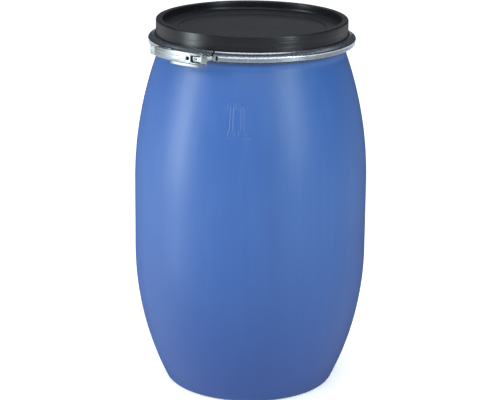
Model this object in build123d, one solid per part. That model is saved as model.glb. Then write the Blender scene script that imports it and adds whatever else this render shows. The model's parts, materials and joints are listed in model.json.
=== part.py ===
from build123d import *
import os
from math import atan2, cos, degrees, radians, sin, sqrt, tan

# A plastic open head drum: a bulging body, a lid with a raised collar, and a sheet-steel clamp ring that a
# lever closes. Millimetres. Z is up, the floor is z = 0, the drum's axis is x = y = 0, and the front is -Y.

# Body
rim_height = 756.0
belly_radius = 249.0
belly_low = 300.0
belly_high = 450.0
heel_radius = 188.7
heel_height = 25.0
corner_radius = 22.0
body_wall = 3.5
shoulder_drop = 29.0
neck_radius = 200.0
neck_wall = 6.0
neck_blend = 28.0
rim_round = 1.2
base_wall = 4.0
foot_width = 14.0
push_up = 12.0
push_up_run = 15.0

# Flanges that the ring draws together
flange_reach = 15.0
body_flange_edge = 6.5
body_flange_slope = 16.3
lid_flange_edge = 4.3
lid_flange_slope = 25.6
rim_gap = 1.2

# Lid
collar_offset = 3.5
collar_height = 33.0
lid_wall = 3.2
recess_depth = 18.0
panel_wall = 3.5
panel_border = 34.3
panel_step = 2.5
skirt_depth = 12.0
skirt_gap = 1.5
collar_round = 3.0
gate_mark_radius = 6.0
gate_mark_height = 1.2

# Lid seal, in a groove under the lid's flange
groove_inset = 1.7
groove_width = 7.5
groove_depth = 4.0
seal_side_gap = 0.3

# Clamp ring
sheet = 1.2
flank_gap = 0.4
web_gap = 2.8
leg_reach = 9.0
band_bend = 2.6

# Closure: a place is millimetres along the band's outer face from the lever's pin, and negative is left
closure_azimuth = -27.0
closure_drop = 3.5
pivot_standoff = 9.0
pin_radius = 2.5
pin_play = 0.05
link_spacing = 13.0
band_left_place = 18.9
band_right_place = 22.9
bridge_lap = 9.0
bridge_bite = 2.3
bridge_height = 7.5

# Lever
lever_height = 20.4
lever_inner_standoff = 4.5
lever_left_place = -131.9
tab_place = -114.7
tab_root = 3.8
tab_bend_run = 5.7
tab_flare = 3.5
tab_margin = 1.0
lobe_step = 1.0
web_gap_to_link = 1.0
web_past_pin = 0.8
window_height = 15.0
window_past_link = 6.8
window_corner = 4.0
lever_hole_radius = 4.1
lever_hole_place = -25.5
rib_height = 0.8
rib_width = 3.0
rib_spacing = 8.0
rib_left_place = -107.0
rib_right_place = -44.0

# Bracket of the lever
ear_gap = 0.5
lobe_gap = 0.3
lip_gap = 0.3
lip_depth = 4.2
bracket_left_place = -66.9
bracket_right_place = -9.6
rivet_places = (-57.3, -36.3)
rivet_radius = 2.0
rivet_head_radius = 3.6
rivet_head_height = 1.4
rivet_dome = 0.5
rivet_seat = 0.05

# Seal lug
lug_left_place = -91.7
lug_right_place = -71.9
lug_top_standoff = 12.5
lug_foot = 7.0
seal_hole_radius = 2.2
seal_hole_standoff = 9.5

# Tension link
link_sheet = 1.5
link_arm = 9.6
link_clear = 0.8
link_shoulder = 17.3
link_tongue = 8.0
shoulder_left = 2.7
shoulder_right = 15.5
shoulder_step = 3.0
link_lift = 0.6
link_bend = 2.0
dimple_radius = 1.3
dimple_place = -7.0
hook_place = 27.9
hook_run = 6.5
hook_bite = 1.6
slot_side = 0.5
slot_behind = 0.3
slot_ahead = 4.5

# Places worked out from the sizes above
shoulder_top = rim_height - shoulder_drop
flange_radius = neck_radius + flange_reach
collar_radius = neck_radius + collar_offset
lid_bottom = rim_height + rim_gap
collar_foot = lid_bottom + lid_flange_edge + (flange_radius - collar_radius) * tan(radians(lid_flange_slope))
lid_top = collar_foot + collar_height
skirt_radius = neck_radius - neck_wall - skirt_gap
panel_step_radius = skirt_radius - lid_wall - panel_border
band_inner = flange_radius + web_gap
band_outer = band_inner + sheet
pivot_radius = band_outer + pivot_standoff
lever_outer = pivot_radius + pin_radius + link_clear + link_sheet + web_gap_to_link + sheet
lever_inner = band_outer + lever_inner_standoff
ear_outer = lever_outer + lip_gap + sheet
ear_lobe = pivot_standoff - sheet - lobe_gap
lever_lobe = ear_lobe - lobe_step
window_reach = link_spacing + window_past_link
web_top = lid_bottom + lid_flange_edge - web_gap * tan(radians(lid_flange_slope))
web_foot = rim_height - body_flange_edge + web_gap * tan(radians(body_flange_slope))
web_middle = (web_top + web_foot) / 2
closure_height = rim_height - closure_drop
lever_low = closure_height - lever_height / 2
lever_high = closure_height + lever_height / 2

# The closure's places as angles from the lever's pin, in degrees
turn_per_mm = degrees(1 / band_outer)
band_left_end = band_left_place * turn_per_mm
band_right_end = band_right_place * turn_per_mm
bridge_left_end = (band_left_place - bridge_lap) * turn_per_mm
bridge_right_end = (band_right_place + bridge_bite) * turn_per_mm
lever_left_end = lever_left_place * turn_per_mm
tab_start = tab_place * turn_per_mm
lever_hole_angle = lever_hole_place * turn_per_mm
rib_left = rib_left_place * turn_per_mm
rib_right = rib_right_place * turn_per_mm
bracket_left_end = bracket_left_place * turn_per_mm
bracket_right_end = bracket_right_place * turn_per_mm
rivet_angles = [place * turn_per_mm for place in rivet_places]
lug_left = lug_left_place * turn_per_mm
lug_right = lug_right_place * turn_per_mm
lug_rivet_angle = (lug_left + lug_right) / 2
hook_angle = hook_place * turn_per_mm
landing_angle = (hook_place - hook_run) * turn_per_mm


def outline(points, rounds=()):
    """A flat face in the plane of radius and height, with some of its corners rounded."""
    face = make_face(Polyline(*points, close=True))
    for place, radius in rounds:
        corner = min(face.vertices(), key=lambda v: (Vector(*v) - Vector(*place)).length)
        face = fillet(corner, radius)
    return face


def turned(face, start=0.0, end=360.0):
    """The face, drawn in radius and height, turned about the drum's axis from one angle to another."""
    upright = Plane.XZ * face
    return Rot(0, 0, start - 90) * revolve(upright, Axis.Z, end - start)


def sector(inner, outer, low, high, start, end):
    """A curved plate about the drum's axis, between two radii, two heights and two angles."""
    return turned(outline([(inner, low), (outer, low), (outer, high), (inner, high)]), start, end)


def around(radius, angle):
    """The point at a radius and an angle from the lever's pin, seen from above with the closure in front."""
    return Vector(radius * sin(radians(angle)), -radius * cos(radians(angle)))


def column(place, radius, low, high):
    """An upright cylinder between two heights."""
    return Pos(place.X, place.Y, (low + high) / 2) * Cylinder(radius, high - low)


def stud(angle, inner, outer, radius, height=web_middle):
    """A cylinder that points away from the drum's axis, between two radii."""
    lying = Pos(0, -(inner + outer) / 2, height) * Rot(90, 0, 0) * Cylinder(radius, outer - inner)
    return Rot(0, 0, angle) * lying


def strip(points, bend, thickness, low, high):
    """A bent strip of sheet that stands upright: its middle line seen from above, and its two edges."""
    path = FilletPolyline(*points, radius=bend)
    face = make_face(offset(path, thickness / 2, kind=Kind.INTERSECTION, side=Side.BOTH))
    return Pos(0, 0, low) * extrude(face, high - low, dir=(0, 0, 1))


def window(x_low, x_high, height, middle=closure_height):
    """A block that cuts a window of that height through the front of the closure."""
    block = Box(x_high - x_low, 2 * (lever_outer - band_inner), height)
    return Pos((x_low + x_high) / 2, -pivot_radius, middle) * block


lever_pin_place = around(pivot_radius, 0)
link_pin_place = Vector(-link_spacing, -pivot_radius)
seal_hole_place = around(band_outer + seal_hole_standoff, lug_rivet_angle)


def belly_arc(end_radius, end_height, start_height, inset):
    """An arc that leaves the belly upright at one height and reaches the point, moved in by the inset."""
    rise = abs(end_height - start_height)
    drop = belly_radius - end_radius
    radius = (rise * rise + drop * drop) / (2 * drop)
    centre = belly_radius - radius
    inner = radius - inset
    return centre, inner


def side(inset):
    """The body's side, from the foot up to the neck, moved in from its outer face by the inset."""
    low_centre, low_radius = belly_arc(heel_radius, heel_height, belly_low, inset)
    high_centre, high_radius = belly_arc(neck_radius, shoulder_top, belly_high, inset)
    reach = sqrt((low_radius + inset - corner_radius) ** 2 - (belly_low - corner_radius) ** 2)
    turn = atan2(belly_low - corner_radius, reach)
    corner_x = low_centre + reach
    small = corner_radius - inset
    joint = (low_centre + low_radius * cos(turn), belly_low - low_radius * sin(turn))
    half = low_radius * cos(turn / 2), low_radius * sin(turn / 2)
    heel = (turn + radians(90)) / 2
    rise = shoulder_top - belly_high
    top = (high_centre + sqrt(high_radius**2 - rise**2), shoulder_top)
    bow = rise / 2
    return [
        ThreePointArc(
            (corner_x, inset),
            (corner_x + small * cos(heel), corner_radius - small * sin(heel)),
            joint,
        ),
        ThreePointArc(joint, (low_centre + half[0], belly_low - half[1]), (belly_radius - inset, belly_low)),
        Line((belly_radius - inset, belly_low), (belly_radius - inset, belly_high)),
        ThreePointArc(
            (belly_radius - inset, belly_high),
            (high_centre + sqrt(high_radius**2 - bow**2), belly_high + bow),
            top,
        ),
    ]


def drum_body():
    outer = side(0)
    inner = side(body_wall)
    foot = outer[0] @ 0
    floor_edge = inner[0] @ 0
    shoulder = outer[-1] @ 1
    inside_shoulder = inner[-1] @ 1
    mouth = neck_radius - neck_wall
    flange_low = rim_height - body_flange_edge
    flange_root = flange_low - (flange_radius - neck_radius) * tan(radians(body_flange_slope))
    foot_inner = foot.X - foot_width
    panel_edge = foot_inner - push_up_run
    shift = base_wall * tan(atan2(push_up, push_up_run) / 2)
    below = Polyline((0, push_up), (panel_edge, push_up), (foot_inner, 0), (foot.X, 0))
    rim = Polyline(
        (shoulder.X, shoulder.Y),
        (neck_radius, flange_root),
        (flange_radius, flange_low),
        (flange_radius, rim_height),
        (mouth, rim_height),
        (mouth, shoulder_top + neck_wall),
        (inside_shoulder.X, inside_shoulder.Y),
    )
    above = Polyline(
        (floor_edge.X, floor_edge.Y),
        (floor_edge.X, base_wall),
        (foot_inner + shift, base_wall),
        (panel_edge + shift, push_up + base_wall),
        (0, push_up + base_wall),
        (0, push_up),
    )
    face = make_face([*below.edges(), *outer, *rim.edges(), *inner, *above.edges()])
    rounds = (
        ((neck_radius, shoulder_top), neck_blend),
        ((flange_radius, rim_height), rim_round),
        ((flange_radius, flange_low), rim_round),
        ((mouth, rim_height), rim_round),
    )
    for place, radius in rounds:
        corner = min(face.vertices(), key=lambda v: (Vector(*v) - Vector(*place)).length)
        face = fillet(corner, radius)
    return turned(face)


def lid():
    recess = lid_top - recess_depth
    inner = skirt_radius - lid_wall
    groove_left = collar_radius - lid_wall + groove_inset
    groove_right = groove_left + groove_width
    step_floor = recess - panel_step
    points = [
        (0, step_floor),
        (panel_step_radius, step_floor),
        (panel_step_radius + panel_step, recess),
        (inner, recess),
        (inner, lid_top),
        (collar_radius, lid_top),
        (collar_radius, collar_foot),
        (flange_radius, lid_bottom + lid_flange_edge),
        (flange_radius, lid_bottom),
        (groove_right, lid_bottom),
        (groove_right, lid_bottom + groove_depth),
        (groove_left, lid_bottom + groove_depth),
        (groove_left, lid_bottom),
        (collar_radius - lid_wall, lid_bottom),
        (collar_radius - lid_wall, lid_top - lid_wall),
        (skirt_radius, lid_top - lid_wall),
        (skirt_radius, rim_height - skirt_depth),
        (inner, rim_height - skirt_depth),
        (inner, recess - panel_wall),
        (panel_step_radius + panel_step, recess - panel_wall),
        (panel_step_radius, step_floor - panel_wall),
        (0, step_floor - panel_wall),
    ]
    rounds = (
        ((collar_radius, lid_top), collar_round),
        ((inner, lid_top), collar_round),
        ((inner, recess), collar_round),
        ((flange_radius, lid_bottom + lid_flange_edge), rim_round),
    )
    mark = column(Vector(0, 0), gate_mark_radius, step_floor, step_floor + gate_mark_height)
    return turned(outline(points, rounds)) + mark


def lid_seal():
    left = collar_radius - lid_wall + groove_inset + seal_side_gap
    right = left + groove_width - 2 * seal_side_gap
    high = lid_bottom + groove_depth
    return turned(outline([(left, rim_height), (right, rim_height), (right, high), (left, high)]))


def band_section():
    upper = radians(lid_flange_slope)
    lower = radians(body_flange_slope)
    leg = flange_radius - leg_reach

    def top(radius, away):
        return lid_bottom + lid_flange_edge + (flange_radius - radius) * tan(upper) + away / cos(upper)

    def bottom(radius, away):
        return rim_height - body_flange_edge - (flange_radius - radius) * tan(lower) - away / cos(lower)

    outside = flank_gap + sheet
    points = [
        (leg, top(leg, outside)),
        (band_outer, top(band_outer, outside)),
        (band_outer, bottom(band_outer, outside)),
        (leg, bottom(leg, outside)),
        (leg, bottom(leg, flank_gap)),
        (band_inner, bottom(band_inner, flank_gap)),
        (band_inner, top(band_inner, flank_gap)),
        (leg, top(leg, flank_gap)),
    ]
    rounds = (
        (points[1], band_bend),
        (points[2], band_bend),
        (points[5], band_bend - sheet),
        (points[6], band_bend - sheet),
    )
    return outline(points, rounds)


def clamp_band():
    band = turned(band_section(), band_right_end, 360 + band_left_end)
    for angle in rivet_angles + [lug_rivet_angle]:
        band -= stud(angle, band_inner - sheet, band_outer + sheet, rivet_radius)
    hook = around(band_outer, hook_angle)
    slot_left = hook.X - slot_behind - link_sheet
    slot = window(slot_left, hook.X + slot_ahead, link_tongue + 2 * slot_side, web_middle)
    return band - slot


def gap_bridge():
    low = web_middle - bridge_height / 2
    high = low + bridge_height
    return sector(band_inner - sheet, band_inner, low, high, bridge_left_end, bridge_right_end)


def rivet(angle, foot):
    """A rivet through the band and a plate outside it, with a round head at each end."""
    seat = band_inner - rivet_seat
    shank = stud(angle, seat, foot + rivet_seat, rivet_radius)
    outer = stud(0, foot + rivet_seat, foot + rivet_head_height, rivet_head_radius)
    outer = fillet(outer.edges().filter_by(GeomType.CIRCLE).sort_by(Axis.Y)[0], rivet_dome)
    inner = stud(angle, seat - rivet_head_height, seat, rivet_head_radius)
    return shank + Rot(0, 0, angle) * outer + inner


def lever_bracket():
    low = lever_low - ear_gap - sheet
    high = lever_high + ear_gap + sheet
    base = sector(band_outer, band_outer + sheet, low, high, bracket_left_end, bracket_right_end)
    ears = []
    for bottom in (low, high - sheet):
        plate = sector(band_outer, ear_outer, bottom, bottom + sheet, bracket_left_end, 0)
        lobe = column(lever_pin_place, ear_lobe, bottom, bottom + sheet)
        ears.append(plate + lobe)
    lip = sector(ear_outer - sheet, ear_outer, low - lip_depth, low + sheet, bracket_left_end, 0)
    bracket = base + ears[0] + ears[1] + lip
    bracket -= column(lever_pin_place, pin_radius, low - sheet, high + sheet)
    for angle in rivet_angles:
        bracket -= stud(angle, band_outer - sheet, band_outer + 2 * sheet, rivet_radius)
    return bracket


def lever_pin():
    low = lever_low - ear_gap - sheet
    high = lever_high + ear_gap + sheet
    pin = column(lever_pin_place, pin_radius, low - rivet_head_height, high + rivet_head_height)
    pin += column(lever_pin_place, rivet_head_radius, low - rivet_head_height, low)
    pin += column(lever_pin_place, rivet_head_radius, high, high + rivet_head_height)
    return pin


def link_pin():
    return column(link_pin_place, pin_radius, lever_low, lever_high)


def lever():
    web = sector(lever_outer - sheet, lever_outer, lever_low, lever_high, tab_start, 0)
    web += window(0, web_past_pin, lever_height) & sector(
        lever_outer - sheet, lever_outer, lever_low, lever_high, 0, -tab_start
    )
    body = web
    for bottom in (lever_low, lever_high - sheet):
        flange = sector(lever_inner, lever_outer - sheet / 2, bottom, bottom + sheet, tab_start, 0)
        lobe = column(lever_pin_place, lever_lobe, bottom, bottom + sheet)
        body += flange + lobe
    middle = lever_outer - sheet / 2
    root = tab_start + tab_root * turn_per_mm
    bend = tab_start - tab_bend_run * turn_per_mm
    tab = strip(
        [around(middle, root), around(middle, bend), around(middle + tab_flare, lever_left_end)],
        lever_lobe,
        sheet,
        lever_low + tab_margin,
        lever_high - tab_margin,
    )
    body += tab
    for offset_z in (-rib_spacing / 2, rib_spacing / 2):
        low = closure_height + offset_z - rib_width / 2
        body += sector(middle, lever_outer + rib_height, low, low + rib_width, rib_left, rib_right)
    opening = window(-window_reach, 2 * lever_lobe, window_height)
    corners = opening.edges().filter_by(Axis.Y).group_by(Axis.X)[0]
    opening = fillet(corners, window_corner)
    behind_web = lever_outer - sheet - pin_play
    through = sector(behind_web, lever_outer + sheet, lever_low, lever_high, tab_start, -tab_start)
    body -= opening & through
    hole_low = lever_outer - 2 * sheet
    body -= stud(lever_hole_angle, hole_low, lever_outer + sheet, lever_hole_radius, closure_height)
    body -= column(lever_pin_place, pin_radius + pin_play, lever_low - sheet, lever_high + sheet)
    body -= column(link_pin_place, pin_radius, lever_low - sheet, lever_high + sheet)
    body -= column(seal_hole_place, seal_hole_radius, lever_high - 2 * sheet, lever_high + sheet)
    return body


def tension_link():
    arm = pin_radius + link_clear + link_sheet / 2
    surface = band_outer + link_lift + link_sheet / 2
    inner = around(band_inner - hook_bite, hook_angle)
    points = [
        Vector(-link_spacing, -pivot_radius - arm),
        Vector(shoulder_left + link_bend, -pivot_radius - arm),
        Vector(shoulder_right, -pivot_radius - arm + shoulder_step),
        around(surface, landing_angle),
        around(surface, hook_angle),
        inner,
    ]
    low = closure_height - link_shoulder / 2
    sheet_body = strip(points, link_bend / 2, link_sheet, low, low + link_shoulder)
    far = 2 * pivot_standoff + link_spacing
    blank = window(-far, shoulder_left, link_arm)
    blank += window(shoulder_left, shoulder_right, link_shoulder)
    blank += window(shoulder_right, 2 * far, link_tongue, web_middle)
    link = sheet_body & blank
    knuckle = pin_radius + link_clear + link_sheet
    link += column(link_pin_place, knuckle, closure_height - link_arm / 2, closure_height + link_arm / 2)
    link -= column(link_pin_place, pin_radius + pin_play, low, low + link_shoulder)
    hole = Pos(dimple_place, -pivot_radius - arm, closure_height) * Rot(90, 0, 0)
    return link - hole * Cylinder(dimple_radius, 2 * link_sheet)


def seal_lug():
    high = lever_high + ear_gap + sheet
    low = closure_height - lug_foot
    foot = sector(band_outer, band_outer + sheet, low, high, lug_left, lug_right)
    tab = sector(band_outer, band_outer + lug_top_standoff, high - sheet, high, lug_left, lug_right)
    lug = foot + tab - column(seal_hole_place, seal_hole_radius, high - 2 * sheet, high + sheet)
    return lug - stud(lug_rivet_angle, band_outer - sheet, band_outer + 2 * sheet, rivet_radius)


plain = {"drum_body": drum_body(), "lid": lid(), "lid_seal": lid_seal()}
closure = {
    "clamp_band": clamp_band(),
    "gap_bridge": gap_bridge(),
    "lever_bracket": lever_bracket(),
    "seal_lug": seal_lug(),
    "seal_lug_rivet": rivet(lug_rivet_angle, band_outer + sheet),
    "lever_pin": lever_pin(),
    "lever": lever(),
    "link_pin": link_pin(),
    "tension_link": tension_link(),
}
for number, angle in enumerate(rivet_angles, 1):
    closure[f"bracket_rivet_{number}"] = rivet(angle, band_outer + sheet)

os.makedirs("parts", exist_ok=True)
for name, solid in plain.items():
    export_step(solid, f"parts/{name}.step")
for name, solid in closure.items():
    export_step(Rot(0, 0, closure_azimuth) * solid, f"parts/{name}.step")
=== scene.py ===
"""A plastic open head drum with its lid and clamp ring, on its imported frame. Metres, Z up, front -Y."""

import json
from math import atan2, cos, pi, radians, sin, sqrt, tan

import bmesh
import bpy
import numpy as np
from mathutils import Matrix, Vector


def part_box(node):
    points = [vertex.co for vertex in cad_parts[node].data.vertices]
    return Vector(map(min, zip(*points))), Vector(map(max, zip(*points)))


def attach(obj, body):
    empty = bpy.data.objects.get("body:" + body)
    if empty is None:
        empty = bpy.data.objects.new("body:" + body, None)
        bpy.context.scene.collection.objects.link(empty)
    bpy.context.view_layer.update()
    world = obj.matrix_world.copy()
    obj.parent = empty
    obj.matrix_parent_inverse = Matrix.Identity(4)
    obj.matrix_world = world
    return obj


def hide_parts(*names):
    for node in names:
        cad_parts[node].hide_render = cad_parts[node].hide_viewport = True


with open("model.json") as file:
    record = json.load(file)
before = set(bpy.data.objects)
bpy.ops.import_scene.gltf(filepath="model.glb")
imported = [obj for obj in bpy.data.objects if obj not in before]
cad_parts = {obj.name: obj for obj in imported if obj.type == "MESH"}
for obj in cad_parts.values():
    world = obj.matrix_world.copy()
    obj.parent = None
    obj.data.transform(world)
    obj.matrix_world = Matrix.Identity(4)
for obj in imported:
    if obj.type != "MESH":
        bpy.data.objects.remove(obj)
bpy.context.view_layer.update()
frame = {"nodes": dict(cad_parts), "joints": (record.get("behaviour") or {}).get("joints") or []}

MM = 0.001

# Places read from the frame
body_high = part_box("drum_body")[1]
lid_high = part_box("lid")[1]
seal_low, seal_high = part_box("lid_seal")
BELLY = body_high.x
RIM = body_high.z
LID_TOP = lid_high.z
FLANGE = lid_high.x
joints = {joint["name"]: joint for joint in frame["joints"]}
LEVER_PIN = Vector(joints["lever_swing"]["pos_m"])
CLOSURE_TURN = atan2(LEVER_PIN.x, -LEVER_PIN.y)

# Shape of the body, in metres, as it is moulded
BELLY_LOW = 300 * MM
BELLY_HIGH = 450 * MM
HEEL_RADIUS = 188.7 * MM
HEEL_HEIGHT = 25 * MM
CORNER = 22 * MM
WALL = 3.5 * MM
NECK = 200 * MM
NECK_WALL = 6 * MM
SHOULDER = RIM - 29 * MM
FOOT_WIDTH = 14 * MM
BASE_WALL = 4 * MM
PUSH_UP = 12 * MM
PUSH_RUN = 15 * MM
BODY_FLANGE_EDGE = 6.5 * MM
BODY_FLANGE_SLOPE = radians(16.3)
NECK_SHADE_LOW = RIM - 22 * MM
NECK_SHADE_HIGH = RIM - 12 * MM

# Shape of the band: its outer face, and the bead rolled into it
SHEET = 1.2 * MM
BAND_FACE = 219 * MM
BAND_INSIDE = BAND_FACE - SHEET
BAND_MIDDLE = BAND_FACE - SHEET / 2
BEAD_HEIGHT = RIM + 2.9 * MM
BEAD_HALF = 2.3 * MM
BEAD_REACH = 1.1 * MM
BEAD_START = radians(11.0)
BEAD_END = radians(-27.5)
BEAD_FADE = radians(4.0)
# Painted shade along the band's lower edge: where it starts, and where it is full.
LOW_EDGE_SHADE_TOP = RIM - 6.2 * MM
LOW_EDGE_SHADE_FULL = RIM - 8.2 * MM


# ---------------------------------------------------------------- shader sockets

class Wire:
    """One socket of a node tree, with arithmetic that adds Math nodes."""

    def __init__(self, tree, socket):
        self.tree = tree
        self.socket = socket

    def math(self, operation, *others):
        return self.tree.add("ShaderNodeMath", {"operation": operation}, [self, *others])

    def __add__(self, other):
        return self.math("ADD", other)

    def __rsub__(self, other):
        return self.tree.add("ShaderNodeMath", {"operation": "SUBTRACT"}, [other, self])

    def __mul__(self, other):
        return self.math("MULTIPLY", other)

    def __pow__(self, other):
        return self.math("POWER", other)

    __radd__ = __add__
    __rmul__ = __mul__

    def smooth(self, low, high, start=0.0, end=1.0):
        """Eases from start to end while the value goes from low to high."""
        settings = {"interpolation_type": "SMOOTHSTEP"}
        return self.tree.add("ShaderNodeMapRange", settings, [self, low, high, start, end])


class Sheet:
    """The nodes and links of one node tree."""

    def __init__(self, tree):
        self.nodes = tree.nodes
        self.links = tree.links

    def add(self, kind, settings=(), values=(), output=0):
        """Adds a node: its settings first, then the value or link of each socket, by place or by name."""
        node = self.nodes.new(kind)
        for name, value in dict(settings).items():
            setattr(node, name, value)
        self.fill(node, values if isinstance(values, dict) else dict(enumerate(values)))
        return Wire(self, node.outputs[output])

    def fill(self, node, values):
        """Gives each named socket of a node its link or its value. None leaves the socket as it is."""
        for name, value in values.items():
            if isinstance(value, Wire):
                self.links.new(value.socket, node.inputs[name])
            elif value is not None:
                node.inputs[name].default_value = value

    def parts(self, wire):
        """The three parts of a place or direction, each as a wire."""
        first = self.add("ShaderNodeSeparateXYZ", {}, [wire])
        return [Wire(self, out) for out in first.socket.node.outputs]

    def mix(self, low, high, factor):
        """A colour between two others."""
        values = {"Factor": factor, 6: low, 7: high}
        return self.add("ShaderNodeMix", {"data_type": "RGBA"}, values, output=2)


class Finish(Sheet):
    """A material and the tree of its nodes."""

    def __init__(self, name):
        self.material = bpy.data.materials.new(name)
        self.material.use_nodes = True
        super().__init__(self.material.node_tree)
        self.shader = self.nodes["Principled BSDF"]
        self.place = self.add("ShaderNodeTexCoord", output="Object")

    def noise(self, scale, detail=2.0, rough=0.5, place=None):
        values = {"Vector": place or self.place, "Scale": scale, "Detail": detail, "Roughness": rough}
        return self.add("ShaderNodeTexNoise", {}, values)

    def stretched(self, x, y, z):
        """The object's place, stretched along each axis."""
        return self.add("ShaderNodeMapping", {}, {"Vector": self.place, "Scale": (x, y, z)})

    def bump(self, height, distance, strength=1.0, normal=None):
        values = {"Strength": strength, "Distance": distance, "Height": height, "Normal": normal}
        return self.add("ShaderNodeBump", {}, values)

    def set(self, **sockets):
        """Sets the shader's sockets, each to a wire or to a number."""
        self.fill(self.shader, {name.replace("_", " "): value for name, value in sockets.items()})
        return self.material


def body_plastic():
    """Blue high-density polyethylene: satin, with a fine moulded grain and faint upright draw lines."""
    f = Finish("blue_moulded_plastic")
    z = f.parts(f.place)[2]
    cloud = f.noise(7.0, 3.0)
    draw = f.noise(1.0, 3.0, place=f.stretched(60.0, 60.0, 1.6))
    low = f.mix((0.020, 0.060, 0.200, 1), (0.024, 0.069, 0.215, 1), cloud)
    colour = f.mix(low, (0.029, 0.080, 0.235, 1), draw.smooth(0.45, 0.75) * 0.35)
    scuff = f.noise(90.0, 4.0, 0.6).smooth(0.60, 0.72) * z.smooth(0.05, 0.0)
    colour = f.mix(colour, (0.16, 0.26, 0.52, 1), scuff * 0.5)
    grain = f.noise(900.0, 2.0, 0.6)
    peel = f.noise(120.0, 2.0)
    normal = f.bump(grain, 0.00006, 0.5)
    normal = f.bump(peel, 0.0002, 0.35, normal)
    normal = f.bump(draw, 0.0006, 0.35, normal)
    edge = f.add("ShaderNodeLayerWeight", {}, {"Blend": 0.5}, output="Facing") ** 3.0
    # Painted shade: the colour darkens where the surface turns away from the view, towards the outline.
    colour = f.mix(colour, (0.012, 0.040, 0.14, 1), edge * 0.8)
    # Painted shade: the body darkens towards the bottom, where the light from above falls off.
    colour = f.mix(colour, (0.012, 0.036, 0.15, 1), z.smooth(0.48, 0.0, 0.0, 0.85))
    colour = f.mix(colour, (0.005, 0.016, 0.070, 1), z.smooth(NECK_SHADE_LOW, NECK_SHADE_HIGH, 0.0, 0.7))
    roughness = 0.39 + 0.06 * cloud + 0.10 * scuff + 0.6 * edge
    return f.set(Base_Color=colour, Roughness=roughness, Normal=normal, Specular_IOR_Level=0.26, IOR=1.5)


def lid_plastic():
    """Black high-density polyethylene: satin, with a moulded grain, flow marks and fine handling scuffs."""
    f = Finish("black_moulded_plastic")
    x, y = f.parts(f.place)[:2]
    radius = (x * x + y * y) ** 0.5
    cloud = f.noise(9.0, 3.0)
    colour = f.mix((0.0040, 0.0042, 0.0060, 1), (0.0070, 0.0072, 0.0095, 1), cloud)
    scuff = f.noise(1.0, 5.0, 0.62, f.stretched(30.0, 70.0, 40.0)).smooth(0.60, 0.74)
    colour = f.mix(colour, (0.03, 0.031, 0.034, 1), scuff * 0.35)
    rings = (radius * 900.0 + cloud * 5.0).math("SINE")
    grain = f.noise(700.0, 2.0, 0.6)
    warp = f.noise(14.0, 2.0)
    normal = f.bump(grain, 0.00008, 0.5)
    normal = f.bump(rings, 0.00003, 0.25, normal)
    normal = f.bump(warp, 0.0015, 0.3, normal)
    edge = f.add("ShaderNodeLayerWeight", {}, {"Blend": 0.5}, output="Facing") ** 3.0
    roughness = 0.25 + 0.08 * cloud + 0.12 * scuff + 0.5 * edge
    return f.set(Base_Color=colour, Roughness=roughness, Normal=normal, Specular_IOR_Level=0.17)


def seal_foam():
    """Closed-cell sealing foam, pale and dull."""
    f = Finish("sealing_foam")
    cells = f.add("ShaderNodeTexVoronoi", {"feature": "SMOOTH_F1"}, {"Vector": f.place, "Scale": 1400.0})
    cloud = f.noise(60.0, 2.0)
    colour = f.mix((0.20, 0.19, 0.17, 1), (0.30, 0.29, 0.26, 1), cloud)
    normal = f.bump(cells, 0.0002, 0.6)
    return f.set(Base_Color=colour, Roughness=0.80 + 0.1 * cloud, Normal=normal, Specular_IOR_Level=0.25)


def stripe(z, low, low_full, high_full, high):
    """One between two heights over the bead, fading out below and above, in millimetres."""
    rise = z.smooth(BEAD_HEIGHT + low * MM, BEAD_HEIGHT + low_full * MM)
    return rise * z.smooth(BEAD_HEIGHT + high * MM, BEAD_HEIGHT + high_full * MM)


def paint_strip_light_and_shade(f, colour):
    """Painted light on the strip: a painted highlight along the bead, painted shade in the groove over it,
    and painted shade along the lower edge.
    """
    z = f.parts(f.place)[2]
    bead = stripe(z, -2.0, -0.6, 0.9, 1.9)
    groove = stripe(z, 1.5, 2.1, 2.5, 3.4)
    under = z.smooth(LOW_EDGE_SHADE_TOP, LOW_EDGE_SHADE_FULL)
    # Painted highlight along the bead.
    colour = f.mix(colour, (0.62, 0.66, 0.70, 1), bead * 0.75)
    # Painted shade in the groove over the bead.
    colour = f.mix(colour, (0.05, 0.055, 0.065, 1), groove * 0.6)
    # Painted shade along the strip's lower edge, under the band's bottom bend.
    return f.mix(colour, (0.03, 0.032, 0.04, 1), under * 0.8)


def galvanised(name, tint, rough, spangle_size, bright=0.12, with_painted_light=False):
    """Zinc on sheet steel: crystals that differ a little in shade and gloss, and fine rolling lines."""
    f = Finish(name)
    crystals = f.add("ShaderNodeTexVoronoi", {}, {"Vector": f.place, "Scale": spangle_size}, output="Color")
    shade = f.add("ShaderNodeSeparateColor", {}, [crystals])
    cloud = f.noise(35.0, 3.0)
    dark = tuple(c * (1 - bright) for c in tint) + (1,)
    light = tuple(min(1.0, c * (1 + bright)) for c in tint) + (1,)
    colour = f.mix(dark, light, shade * 0.55 + cloud * 0.45)
    # With this flag the strip gets a painted highlight on its bead and painted shade in its groove and
    # along its lower edge.
    if with_painted_light:
        colour = paint_strip_light_and_shade(f, colour)
    lines = f.noise(1.0, 2.0, 0.5, f.stretched(8.0, 8.0, 1500.0))
    normal = f.bump(lines, 0.00001, 0.1)
    normal = f.bump(f.noise(160.0, 1.0), 0.00005, 0.08, normal)
    dull = f.noise(120.0, 4.0, 0.6).smooth(0.55, 0.75)
    roughness = rough + 0.03 * shade + 0.06 * dull
    return f.set(Base_Color=colour, Metallic=0.96 - 0.08 * dull, Roughness=roughness, Normal=normal)


# ---------------------------------------------------------------- geometry

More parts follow.
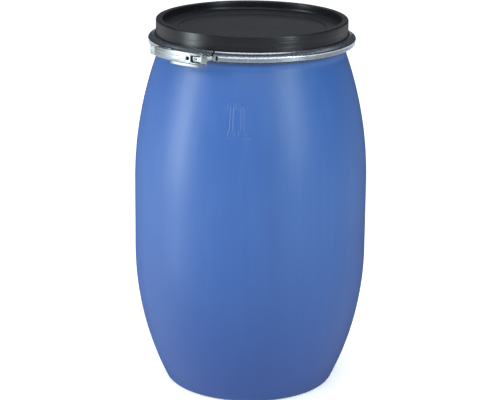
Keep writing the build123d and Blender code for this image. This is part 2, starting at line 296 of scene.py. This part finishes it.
def wrap_tree():
    """Turns a flat sheet about the drum's axis: X is the radius, Y the turn in radians, Z the height."""
    tree = bpy.data.node_groups.new("wrap_about_axis", "GeometryNodeTree")
    face = tree.interface
    face.new_socket("Sheet", in_out="INPUT", socket_type="NodeSocketGeometry")
    face.new_socket("Start turn", in_out="INPUT", socket_type="NodeSocketFloat")
    face.new_socket("Weld distance", in_out="INPUT", socket_type="NodeSocketFloat")
    face.new_socket("Finish", in_out="INPUT", socket_type="NodeSocketMaterial")
    face.new_socket("Shell", in_out="OUTPUT", socket_type="NodeSocketGeometry")
    sheet = Sheet(tree)
    start = {socket.name: Wire(sheet, socket) for socket in sheet.nodes.new("NodeGroupInput").outputs}
    radius, across, height = sheet.parts(sheet.add("GeometryNodeInputPosition"))
    turn = across + start["Start turn"]
    east = radius * turn.math("SINE")
    north = radius * (turn.math("COSINE") * -1.0)
    joined = sheet.add("ShaderNodeCombineXYZ", {}, [east, north, height])
    bent = sheet.add("GeometryNodeSetPosition", {}, {"Geometry": start["Sheet"], "Position": joined})
    weld = {"Geometry": bent, "Distance": start["Weld distance"]}
    welded = sheet.add("GeometryNodeMergeByDistance", {}, weld)
    smooth = sheet.add("GeometryNodeSetShadeSmooth", {}, [welded])
    real = sheet.add("GeometryNodeRealizeInstances", {}, [smooth])
    dressed = sheet.add("GeometryNodeSetMaterial", {}, {"Geometry": real, "Material": start["Finish"]})
    sheet.links.new(dressed.socket, sheet.nodes.new("NodeGroupOutput").inputs[0])
    return tree


WRAP = wrap_tree()


def identifier(tree, name):
    return next(i.identifier for i in tree.interface.items_tree if i.name == name and i.in_out == "INPUT")


def mesh_object(name, points, faces):
    mesh = bpy.data.meshes.new(name)
    mesh.from_pydata([tuple(p) for p in points], [], [tuple(f) for f in faces])
    mesh.update()
    made = bpy.data.objects.new(name, mesh)
    bpy.context.scene.collection.objects.link(made)
    return made


def make_real(made, name, material):
    """Makes the object's modifiers real, as a plain mesh of one material."""
    bpy.context.view_layer.update()
    graph = bpy.context.evaluated_depsgraph_get()
    mesh = bpy.data.meshes.new_from_object(made.evaluated_get(graph))
    made.modifiers.clear()
    made.data = mesh
    mesh.name = name
    mesh.materials.clear()
    mesh.materials.append(material)


def outward(mesh):
    """Turns every face outwards."""
    work = bmesh.new()
    work.from_mesh(mesh)
    bmesh.ops.recalc_face_normals(work, faces=work.faces)
    work.to_mesh(mesh)
    work.free()


def crease(mesh, angle):
    """Smooth shading, with a sharp edge wherever two faces meet at more than the angle, in degrees."""
    mesh.shade_smooth()
    mesh.set_sharp_from_angle(angle=radians(angle))


def rounded(points, steps=6):
    """A section through points (radius, height, rounding): each corner becomes an arc of that rounding."""
    line = []
    count = len(points)
    for index, (r, z, rounding) in enumerate(points):
        here = Vector((r, z))
        if rounding <= 0:
            line.append(tuple(here))
            continue
        before = Vector(points[(index - 1) % count][:2]) - here
        after = Vector(points[(index + 1) % count][:2]) - here
        before.normalize()
        after.normalize()
        half = before.angle(after) / 2
        reach = rounding / tan(half)
        centre = here + (before + after).normalized() * (rounding / sin(half))
        first = here + before * reach - centre
        last = here + after * reach - centre
        sweep = first.angle(last)
        for step in range(steps + 1):
            share = step / steps
            mixed = (first * sin((1 - share) * sweep) + last * sin(share * sweep)) / sin(sweep)
            line.append(tuple(centre + mixed))
    return line


def wrapped(name, section, turns, material, start=0.0, lift=None):
    """A closed section turned about the axis, at the given turns. Less than a full turn gets two ends."""
    section = np.array(section)
    turns = np.array(turns)
    rows, columns = len(section), len(turns)
    grid = np.zeros((rows, columns, 3))
    grid[:, :, 0] = section[:, 0, None]
    grid[:, :, 1] = turns[None, :]
    grid[:, :, 2] = section[:, 1, None]
    if lift is not None:
        grid = lift(grid)
    index = np.arange(rows * columns).reshape(rows, columns)
    onward = np.roll(index, -1, axis=0)
    quads = np.stack([index[:, :-1], index[:, 1:], onward[:, 1:], onward[:, :-1]], axis=-1)
    faces = quads.reshape(-1, 4).tolist()
    whole_turn = abs(turns[-1] - turns[0] - 2 * pi) < 1e-6
    if not whole_turn:
        faces += [index[::-1, 0].tolist(), index[:, -1].tolist()]
    made = mesh_object(name, grid.reshape(-1, 3), faces)
    modifier = made.modifiers.new("wrap", "NODES")
    modifier.node_group = WRAP
    modifier[identifier(WRAP, "Start turn")] = start
    modifier[identifier(WRAP, "Weld distance")] = 0.01 * MM
    modifier[identifier(WRAP, "Finish")] = material
    make_real(made, name, material)
    outward(made.data)
    return made


def full_turn(steps):
    return np.linspace(0.0, 2 * pi, steps + 1)


# ---------------------------------------------------------------- body

def arc_to(end_radius, end_height, start_height):
    """The centre and radius of the arc that leaves the belly upright and reaches a point."""
    rise = abs(end_height - start_height)
    drop = BELLY - end_radius
    radius = (rise * rise + drop * drop) / (2 * drop)
    return BELLY - radius, radius


LOW_CENTRE, LOW_RADIUS = arc_to(HEEL_RADIUS, HEEL_HEIGHT, BELLY_LOW)
HIGH_CENTRE, HIGH_RADIUS = arc_to(NECK, SHOULDER, BELLY_HIGH)
CORNER_REACH = sqrt((LOW_RADIUS - CORNER) ** 2 - (BELLY_LOW - CORNER) ** 2)
CORNER_TURN = atan2(BELLY_LOW - CORNER, CORNER_REACH)
CORNER_X = LOW_CENTRE + CORNER_REACH


def side_radius(height):
    """The body's outer radius between the heel and the neck."""
    if height < BELLY_LOW:
        return LOW_CENTRE + sqrt(LOW_RADIUS**2 - (BELLY_LOW - height) ** 2)
    if height > BELLY_HIGH:
        return HIGH_CENTRE + sqrt(HIGH_RADIUS**2 - (height - BELLY_HIGH) ** 2)
    return BELLY


MARK_TURN = radians(-7.0)
MARK_LOW = 593 * MM
MARK_HIGH = 671 * MM
MARK_HALF = 31 * MM
MARK_LIFT = 0.9 * MM
MARK_LINE = 1.5 * MM
MARK_RADIUS = 228 * MM
MARK_LEAST_RADIUS = 210 * MM


def mark_strokes():
    """Two upright arrows in outline over a base line: across from the mark's middle and up, in metres."""
    strokes = []
    for middle in (-10.9 * MM, 10.9 * MM):
        for hand in (-1, 1):
            points = [(0, 667), (9.8, 658), (8.4, 653.5)]
            strokes.append([(middle + hand * a * MM, b * MM) for a, b in points])
            points = [(3.1, 658.5), (3.1, 611.5), (6.4, 608), (6.4, 600)]
            strokes.append([(middle + hand * a * MM, b * MM) for a, b in points])
    strokes.append([(-25 * MM, 595.5 * MM), (25 * MM, 595.5 * MM)])
    return strokes


def mark_height(across, up):
    """How far the mark stands out of the body, at points across and up."""
    nearest = np.full(across.shape, 1.0)
    for stroke in mark_strokes():
        for (ax, az), (bx, bz) in zip(stroke, stroke[1:]):
            run = (bx - ax, bz - az)
            share = ((across - ax) * run[0] + (up - az) * run[1]) / (run[0] ** 2 + run[1] ** 2)
            share = np.clip(share, 0, 1)
            gap = np.hypot(across - ax - share * run[0], up - az - share * run[1])
            nearest = np.minimum(nearest, gap)
    edge = np.clip((MARK_LINE * 1.5 - nearest) / MARK_LINE, 0, 1)
    return MARK_LIFT * edge * edge * (3 - 2 * edge)


def body_section():
    """The body's closed section: from the base's middle up the outside to the rim, then down the inside."""
    foot = CORNER_X - FOOT_WIDTH
    sweep = np.linspace(0, pi / 2 - CORNER_TURN, 9)
    heel = [(CORNER_X + CORNER * sin(a), CORNER - CORNER * cos(a)) for a in sweep]
    joint = BELLY_LOW - LOW_RADIUS * sin(CORNER_TURN)
    below = np.arange(joint + 8 * MM, MARK_LOW - 6 * MM, 9 * MM)
    behind = np.arange(MARK_LOW - 6 * MM, MARK_HIGH + 6 * MM, 0.75 * MM)
    above = np.arange(MARK_HIGH + 6 * MM, SHOULDER - 6 * MM, 4 * MM)
    outside = [(side_radius(h), h) for h in (*below, *behind, *above)]
    flange_low = RIM - BODY_FLANGE_EDGE
    root = flange_low - (FLANGE - NECK) * tan(BODY_FLANGE_SLOPE)
    mouth = NECK - NECK_WALL
    inside_top = HIGH_CENTRE + sqrt((HIGH_RADIUS - WALL) ** 2 - (SHOULDER - BELLY_HIGH) ** 2)
    neck = [
        (side_radius(SHOULDER - 8 * MM), SHOULDER - 8 * MM, 0),
        (NECK, SHOULDER, 30 * MM),
        (NECK, root, 1.5 * MM),
        (FLANGE, flange_low, 1.6 * MM),
        (FLANGE, RIM, 1.6 * MM),
        (mouth, RIM, 1.5 * MM),
        (mouth, SHOULDER + NECK_WALL, 12 * MM),
        (inside_top, SHOULDER, 0),
    ]
    rim = rounded(neck)
    inner = [(side_radius(h) - WALL, h) for h in np.linspace(SHOULDER - 12 * MM, 40 * MM, 26)]
    shift = 1.4 * MM
    base = [
        (0, PUSH_UP + BASE_WALL, 0),
        (foot - PUSH_RUN + shift, PUSH_UP + BASE_WALL, 3 * MM),
        (foot + shift, BASE_WALL, 3 * MM),
        (CORNER_X + 4 * MM, BASE_WALL, 4 * MM),
        (CORNER_X + 20 * MM, 26 * MM, 0),
    ]
    inside = rounded(base)[::-1]
    recess = [(0, PUSH_UP, 0), (foot - PUSH_RUN, PUSH_UP, 3 * MM), (foot, 0, 2 * MM), (CORNER_X, 0, 0)]
    under = rounded(recess)
    return under[:-1] + heel + outside + rim + inner + inside


def body_turns():
    """Where the body's upright lines run: close together behind the mark, and wider apart elsewhere."""
    half = MARK_HALF / MARK_RADIUS
    fine = np.linspace(MARK_TURN - half, MARK_TURN + half, 90)
    wide = np.linspace(MARK_TURN + half, MARK_TURN - half + 2 * pi, 170)
    return np.concatenate([fine, wide[1:]])


def raise_mark(grid):
    """Lifts the mark's lines out of the body's outer face."""
    across = (grid[:, :, 1] - MARK_TURN) * MARK_RADIUS
    radius, height = grid[:, :, 0], grid[:, :, 2]
    outside = radius > MARK_LEAST_RADIUS
    near = (height > MARK_LOW - 5 * MM) & (height < MARK_HIGH + 5 * MM) & (np.abs(across) < MARK_HALF)
    grid[:, :, 0] += np.where(near & outside, mark_height(across, height), 0)
    return grid


def make_body(material):
    body = wrapped("body_shell", body_section(), body_turns(), material, lift=raise_mark)
    crease(body.data, 50)
    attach(body, "drum")
    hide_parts("drum_body")


# ---------------------------------------------------------------- lid and seal

COLLAR = 203.5 * MM
COLLAR_FOOT = LID_TOP - 33 * MM
LID_WALL = 3.2 * MM
RECESS = LID_TOP - 18 * MM
PANEL = 3.5 * MM
STEP_RADIUS = 155 * MM
STEP = 2.5 * MM
LID_GAP = 1.2 * MM
LID_FLANGE_EDGE = 4.3 * MM
SKIRT_GAP = 1.5 * MM
SKIRT_DEPTH = 12 * MM
GROOVE_INSET = 1.7 * MM
GROOVE_WIDTH = 7.5 * MM
GROOVE_DEPTH = 4 * MM
SEAL_INSIDE = 202.3 * MM
SAG = 1.2 * MM
SAG_EDGE = 180 * MM
SAG_RUN = 120 * MM
WAVE = 0.5 * MM
WAVE_EDGE = 160 * MM
PANEL_EDGE = 186 * MM
PANEL_LEAST = LID_TOP - 30 * MM


def starts(first, second, parts):
    """Where each of the equal parts between two points starts."""
    across, up = second[0] - first[0], second[1] - first[1]
    return [(first[0] + across * (part / parts), first[1] + up * (part / parts)) for part in range(parts)]


def level_steps(line, step):
    """The same line with more points where it runs across, none a step or more in or out from the next."""
    dense = []
    for first, second in zip(line, line[1:]):
        dense += starts(first, second, int(abs(second[0] - first[0]) / step) + 1)
    return dense + [line[-1]]


def lid_section():
    """The lid's closed section: its panel and collar on top, its flange with the groove, and its skirt."""
    inner = NECK - NECK_WALL - SKIRT_GAP - LID_WALL
    outer_skirt = inner + LID_WALL
    bottom = RIM + LID_GAP
    left = COLLAR - LID_WALL + GROOVE_INSET
    right = left + GROOVE_WIDTH
    floor = RECESS - STEP
    points = [
        (0, floor, 0),
        (STEP_RADIUS - 12 * MM, floor, 0),
        (STEP_RADIUS, floor, 1.5 * MM),
        (STEP_RADIUS + STEP, RECESS, 1.5 * MM),
        (inner - 14 * MM, RECESS, 0),
        (inner, RECESS, 5 * MM),
        (inner, RECESS + 8 * MM, 0),
        (inner, LID_TOP, 2.5 * MM),
        (inner + 4 * MM, LID_TOP, 0),
        (COLLAR - 4 * MM, LID_TOP, 0),
        (COLLAR, LID_TOP, 3.4 * MM),
        (COLLAR - 0.05 * MM, LID_TOP - 13.0 * MM, 3 * MM),
        (COLLAR + 0.12 * MM, LID_TOP - 15.5 * MM, 2 * MM),
        (COLLAR - 0.04 * MM, LID_TOP - 17.5 * MM, 3 * MM),
        (COLLAR - 0.05 * MM, LID_TOP - 23.0 * MM, 3 * MM),
        (COLLAR + 0.12 * MM, LID_TOP - 25.5 * MM, 2 * MM),
        (COLLAR, COLLAR_FOOT, 1.2 * MM),
        (FLANGE, bottom + LID_FLANGE_EDGE, 1.5 * MM),
        (FLANGE, bottom, 0.8 * MM),
        (right, bottom, 0.3 * MM),
        (right, bottom + GROOVE_DEPTH, 0.3 * MM),
        (left, bottom + GROOVE_DEPTH, 0.3 * MM),
        (left, bottom, 0.3 * MM),
        (COLLAR - LID_WALL, bottom, 0.5 * MM),
        (COLLAR - LID_WALL, LID_TOP - LID_WALL, 1.5 * MM),
        (outer_skirt, LID_TOP - LID_WALL, 1.5 * MM),
        (outer_skirt, RIM - SKIRT_DEPTH, 0.8 * MM),
        (inner, RIM - SKIRT_DEPTH, 0.8 * MM),
        (inner, RECESS - PANEL, 3 * MM),
        (STEP_RADIUS + STEP, RECESS - PANEL, 1.5 * MM),
        (STEP_RADIUS, floor - PANEL, 1.5 * MM),
        (0, floor - PANEL, 0),
    ]
    return level_steps(rounded(points, 5), 12 * MM)


def sag_panel(grid):
    """The lid's panel is slightly dished and uneven, as a moulding cools."""
    radius, turn, height = grid[:, :, 0], grid[:, :, 1], grid[:, :, 2]
    inside = np.clip((SAG_EDGE - radius) / SAG_RUN, 0, 1)
    wave = 0.9 * np.sin(2 * turn + 0.6) + 0.5 * np.sin(3 * turn - 1.0)
    ripple = wave * np.sin(np.clip(radius / WAVE_EDGE, 0, 1) * pi)
    panel = (radius < PANEL_EDGE) & (height > PANEL_LEAST)
    grid[:, :, 2] += np.where(panel, WAVE * ripple - SAG * inside, 0)
    return grid


def make_lid(material):
    lid = wrapped("lid_shell", lid_section(), full_turn(220), material, lift=sag_panel)
    crease(lid.data, 50)
    nub = rounded([
        (0, 1.1 * MM, 0),
        (3.5 * MM, 1.1 * MM, 0.4 * MM),
        (4.5 * MM, 0.1 * MM, 0.3 * MM),
        (6.5 * MM, 0.1 * MM, 0.3 * MM),
        (8 * MM, -1.5 * MM, 0),
        (0, -1.5 * MM, 0),
    ])
    floor = RECESS - STEP - SAG
    gate = wrapped("lid_gate_mark", [(r, z + floor) for r, z in nub], full_turn(48), material)
    crease(gate.data, 40)
    for piece in (lid, gate):
        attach(piece, "lid")
    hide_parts("lid")


def make_seal(material):
    left, right = SEAL_INSIDE, seal_high.x
    section = rounded([
        (left, seal_low.z, 1.2 * MM), (right, seal_low.z, 1.2 * MM),
        (right, seal_high.z, 0.5 * MM), (left, seal_high.z, 0.5 * MM),
    ])
    seal = wrapped("foam_seal", section, full_turn(180), material)
    crease(seal.data, 50)
    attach(seal, "lid")
    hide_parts("lid_seal")


# ---------------------------------------------------------------- clamp ring

GAP_LEFT = radians(4.945)
GAP_RIGHT = radians(6.0)
SLOT_TURN = radians(7.9)
SLOT_SIZE = (6.6 * MM, 12 * MM, 9 * MM)
SLOT_DROP = 0.8 * MM


def thickened(line, thickness):
    """A closed section: the line, then the same line moved to its right by the thickness."""
    line = np.array(line)
    along = np.gradient(line, axis=0)
    along /= np.linalg.norm(along, axis=1)[:, None]
    side = np.stack([along[:, 1], -along[:, 0]], axis=1) * thickness
    return np.concatenate([line, (line + side)[::-1]])


def closer(line, step):
    """The same line with more points, about a step apart."""
    dense = []
    for first, second in zip(line, line[1:]):
        gap = sqrt((second[0] - first[0]) ** 2 + (second[1] - first[1]) ** 2)
        dense += starts(first, second, max(1, int(gap / step)))
    return dense + [line[-1]]


def roll_bead(grid):
    """The bead rolled into the band's face, which runs out on both sides of the closure."""
    turn, height = grid[:, :, 1], grid[:, :, 2]
    share = np.clip(np.abs(height - BEAD_HEIGHT) / BEAD_HALF, 0, 1)
    swell = 0.5 + 0.5 * np.cos(pi * share)
    run_in = np.clip((turn - BEAD_START) / BEAD_FADE, 0, 1)
    run_out = np.clip((2 * pi + BEAD_END - turn) / BEAD_FADE, 0, 1)
    on_web = grid[:, :, 0] > BAND_INSIDE - 1.0 * MM
    grid[:, :, 0] += np.where(on_web, BEAD_REACH * swell * (run_in * run_out), 0)
    return grid


def cut_slot(band):
    """The slot in the band's right end that the link's hook drops into."""
    bpy.ops.mesh.primitive_cube_add(size=1)
    cutter = bpy.context.object
    turn = CLOSURE_TURN + SLOT_TURN
    cutter.scale = SLOT_SIZE
    cutter.rotation_euler = (0, 0, turn)
    cutter.location = (BAND_MIDDLE * sin(turn), -BAND_MIDDLE * cos(turn), RIM - SLOT_DROP)
    cut = band.modifiers.new("slot", "BOOLEAN")
    cut.operation = "DIFFERENCE"
    cut.object = cutter
    cut.solver = "EXACT"
    make_real(band, band.name, band.data.materials[0])
    bpy.data.objects.remove(cutter)


def make_band(material):
    line = rounded([
        (205.9 * MM, RIM + 11.3 * MM, 0),
        (207.4 * MM, RIM + 12.6 * MM, 1.6 * MM),
        (210.6 * MM, RIM + 9.3 * MM, 2.0 * MM),
        (BAND_FACE, RIM + 5.35 * MM, 2.4 * MM),
        (BAND_FACE, RIM - 6.9 * MM, 2.4 * MM),
        (207.4 * MM, RIM - 10.3 * MM, 1.3 * MM),
        (206.4 * MM, RIM - 12.2 * MM, 0),
    ], 5)
    section = thickened(closer(line, 0.5 * MM), SHEET)
    turns = np.linspace(GAP_RIGHT, 2 * pi + GAP_LEFT, 240)
    band = wrapped("clamp_band_strip", section, turns, material, start=CLOSURE_TURN, lift=roll_bead)
    cut_slot(band)
    crease(band.data, 35)
    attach(band, "clamp_ring")
    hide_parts("clamp_band")


# ---------------------------------------------------------------- closure

def softened(node, body, material, width):
    """A copy of a frame piece with its faces joined and its edges broken, as a pressing has."""
    source = frame["nodes"][node]
    mesh = source.data.copy()
    work = bmesh.new()
    work.from_mesh(mesh)
    bmesh.ops.remove_doubles(work, verts=work.verts, dist=0.002 * MM)
    bmesh.ops.dissolve_limit(work, angle_limit=radians(1.5), verts=work.verts, edges=work.edges)
    work.to_mesh(mesh)
    work.free()
    piece = bpy.data.objects.new(node + "_finished", mesh)
    bpy.context.scene.collection.objects.link(piece)
    bevel = piece.modifiers.new("edges", "BEVEL")
    bevel.width = width
    bevel.segments = 2
    bevel.limit_method = "ANGLE"
    bevel.angle_limit = radians(35)
    bevel.use_clamp_overlap = True
    make_real(piece, node + "_finished", material)
    crease(piece.data, 40)
    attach(piece, body)
    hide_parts(node)


def make_closure(strip, bright):
    softened("gap_bridge", "clamp_ring", strip, 0.15 * MM)
    bracket = ("lever_bracket", "lever_pin", "bracket_rivet_1", "bracket_rivet_2")
    for node in (*bracket, "seal_lug", "seal_lug_rivet"):
        softened(node, "clamp_ring", bright, 0.25 * MM)
    for node in ("lever", "link_pin"):
        softened(node, "lever", bright, 0.25 * MM)
    softened("tension_link", "link", bright, 0.3 * MM)


# ---------------------------------------------------------------- studio

CAMERA_LEFT = 0.0009
CAMERA_BACK = 4.275
CAMERA_UP = 1.6252
CAMERA_PITCH = radians(16.0)
CAMERA_ROLL = radians(0.56)
LENS = 147.96
SENSOR = 36
FLOOR_HALF = 14.0


def make_camera():
    camera = bpy.data.objects.new("camera", bpy.data.cameras.new("camera"))
    bpy.context.scene.collection.objects.link(camera)
    camera.data.lens = LENS
    camera.data.sensor_width = SENSOR
    ahead = Vector((0, cos(CAMERA_PITCH), -sin(CAMERA_PITCH)))
    up = Vector((0, sin(CAMERA_PITCH), cos(CAMERA_PITCH)))
    right = Vector((1, 0, 0))
    tilted_right = right * cos(CAMERA_ROLL) + up * sin(CAMERA_ROLL)
    tilted_up = up * cos(CAMERA_ROLL) - right * sin(CAMERA_ROLL)
    turn = Matrix((tilted_right, tilted_up, -ahead)).transposed()
    camera.matrix_world = Matrix.Translation((-CAMERA_LEFT, -CAMERA_BACK, CAMERA_UP)) @ turn.to_4x4()
    bpy.context.scene.camera = camera


def soft_light(name, turn, distance, height, size, power, aim, colour=(1, 1, 1)):
    """A soft box at a turn in degrees from the front, aimed at a height on the drum's axis."""
    data = bpy.data.lights.new(name, "AREA")
    data.shape = "RECTANGLE"
    data.size, data.size_y = size
    data.energy = power
    data.color = colour
    light = bpy.data.objects.new(name, data)
    bpy.context.scene.collection.objects.link(light)
    place = Vector((distance * sin(radians(turn)), -distance * cos(radians(turn)), height))
    away = Vector((0, 0, aim)) - place
    light.matrix_world = Matrix.Translation(place) @ away.to_track_quat("-Z", "Y").to_matrix().to_4x4()


def make_floor():
    f = Finish("pale_floor")
    tone = f.mix((0.80, 0.80, 0.80, 1), (0.84, 0.84, 0.84, 1), f.noise(3.0, 2.0))
    x, y = f.parts(f.place)[:2]
    # The floor glows with painted light, dimmer near the drum and brighter further out.
    glow = f.mix((0.42, 0.42, 0.42, 1), (0.95, 0.95, 0.95, 1), (x * x + y * y).smooth(1.0, 9.0))
    material = f.set(Base_Color=tone, Roughness=0.75, Emission_Color=glow, Emission_Strength=1.0)
    far = FLOOR_HALF
    corners = [(-far, -far, 0), (far, -far, 0), (far, far, 0), (-far, far, 0)]
    floor = mesh_object("floor", corners, [(0, 1, 2, 3)])
    floor.data.materials.append(material)


def make_world():
    """A studio that is bright in front of the drum and dark behind it and overhead."""
    world = bpy.data.worlds.new("studio")
    world.use_nodes = True
    f = Sheet(world.node_tree)
    y, z = f.parts(f.add("ShaderNodeTexCoord", output="Generated"))[1:]
    front = (0.0 - y).smooth(-0.35, 0.9) * z.smooth(0.25, 0.95, 1.0, 0.12)
    tone = f.mix((0.10, 0.11, 0.13, 1), (0.28, 0.30, 0.34, 1), front)
    f.links.new(tone.socket, f.nodes["Background"].inputs[0])
    bpy.context.scene.world = world
    bpy.context.scene.view_settings.view_transform = "Standard"


def make_studio():
    make_floor()
    make_world()
    soft_light("left_box", turn=-72, distance=2.3, height=1.11, size=(0.40, 2.15), power=86,
               colour=(0.88, 1.0, 1.0), aim=1.0)
    soft_light("right_box", turn=43, distance=2.5, height=1.45, size=(0.45, 1.9), power=64,
               colour=(0.82, 1.0, 0.98), aim=1.0)
    soft_light("front_box", turn=0, distance=2.8, height=2.5, size=(3.4, 0.7), power=46, aim=0.7)
    soft_light("over_box", turn=0, distance=0.7, height=3.2, size=(2.6, 0.7), power=30, aim=0.78)
    soft_light("rear_box", turn=180, distance=1.3, height=3.2, size=(3.2, 1.8), power=30, aim=0.78)
    soft_light("back_card", turn=176, distance=3.6, height=1.85, size=(1.2, 0.5), power=2.4, aim=0.78)


steel = galvanised("galvanised_strip", (0.175, 0.20, 0.235), 0.25, 90.0, 0.06, True)
zinc = galvanised("bright_zinc", (0.18, 0.19, 0.205), 0.40, 120.0, 0.03)
make_body(body_plastic())
make_lid(lid_plastic())
make_seal(seal_foam())
make_band(steel)
make_closure(steel, zinc)
make_studio()
make_camera()
